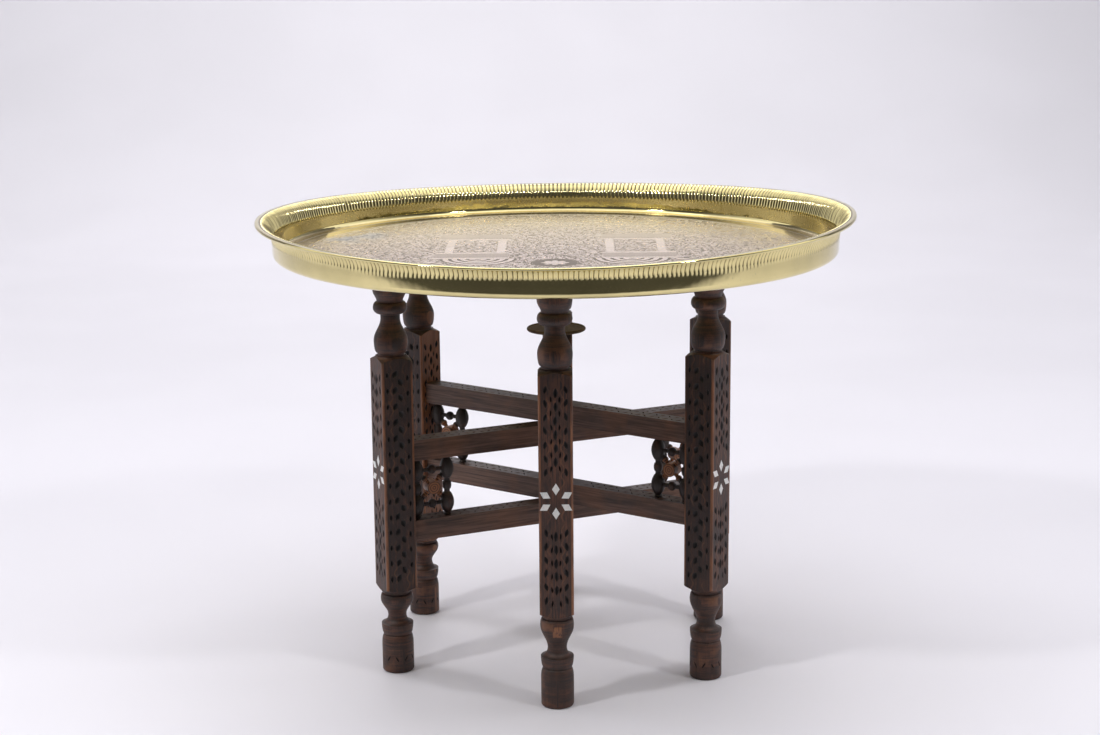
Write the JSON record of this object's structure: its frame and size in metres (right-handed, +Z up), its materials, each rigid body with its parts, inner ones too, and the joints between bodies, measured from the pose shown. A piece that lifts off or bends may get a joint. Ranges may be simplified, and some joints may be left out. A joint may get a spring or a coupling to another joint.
{
  "type": "tray table",
  "caption": "Large round fluted brass tray resting on a folding stand of crossed, carved wooden frames with pearl inlay and turned lattices.",
  "frame": {"origin": "on the floor, in the middle of the stand and of the tray", "axes": "+Z up; the front leg stands on -Y and the back leg on +Y"},
  "size_m": [0.7, 0.7, 0.5213],
  "materials": {
    "brass": "polished, lightly worn",
    "cap_brass": "dull, darkened",
    "carved_wood": "dark stain and wax, worn at the edges",
    "rail_wood": "stained, satin",
    "lattice_wood": "stained, satin",
    "pearl": "polished mother-of-pearl",
    "iron": "dull, oiled"
  },
  "bodies": {
    "high_frame": {"leg_front": "carved_wood", "star_front": "pearl", "outer_spindle_front": "lattice_wood", "inner_spindle_front": "lattice_wood", "lattice_link_front": "lattice_wood", "leg_back": "carved_wood", "star_back": "pearl", "outer_spindle_back": "lattice_wood", "inner_spindle_back": "lattice_wood", "lattice_link_back": "lattice_wood", "upper_rail_high": "rail_wood", "lower_rail_high": "rail_wood", "pivot_rod": "iron", "pivot_washer": "iron", "pivot_nut": "iron", "pivot_finial": "lattice_wood", "pivot_cap": "cap_brass"},
    "mid_frame": {"leg_back_left": "carved_wood", "star_back_left": "pearl", "outer_spindle_back_left": "lattice_wood", "inner_spindle_back_left": "lattice_wood", "lattice_link_back_left": "lattice_wood", "leg_front_right": "carved_wood", "star_front_right": "pearl", "outer_spindle_front_right": "lattice_wood", "inner_spindle_front_right": "lattice_wood", "lattice_link_front_right": "lattice_wood", "upper_rail_mid": "rail_wood", "lower_rail_mid": "rail_wood"},
    "low_frame": {"leg_front_left": "carved_wood", "star_front_left": "pearl", "outer_spindle_front_left": "lattice_wood", "inner_spindle_front_left": "lattice_wood", "lattice_link_front_left": "lattice_wood", "leg_back_right": "carved_wood", "star_back_right": "pearl", "outer_spindle_back_right": "lattice_wood", "inner_spindle_back_right": "lattice_wood", "lattice_link_back_right": "lattice_wood", "upper_rail_low": "rail_wood", "lower_rail_low": "rail_wood"},
    "tray": {"tray": "brass"}
  },
  "joints": [
    {"name": "mid_frame_fold", "type": "hinge", "parent": "high_frame", "child": "mid_frame", "pos_m": [0, 0, 0.2], "axis": [0, 0, -1], "range_deg": [-20, 42]},
    {"name": "low_frame_fold", "type": "hinge", "parent": "high_frame", "child": "low_frame", "pos_m": [0, 0, 0.2], "axis": [0, 0, 1], "range_deg": [-20, 51]},
    {"name": "tray_lift", "type": "slide", "parent": "high_frame", "child": "tray", "axis": [0, 0, 1], "range_m": [0, 0.15]}
  ]
}
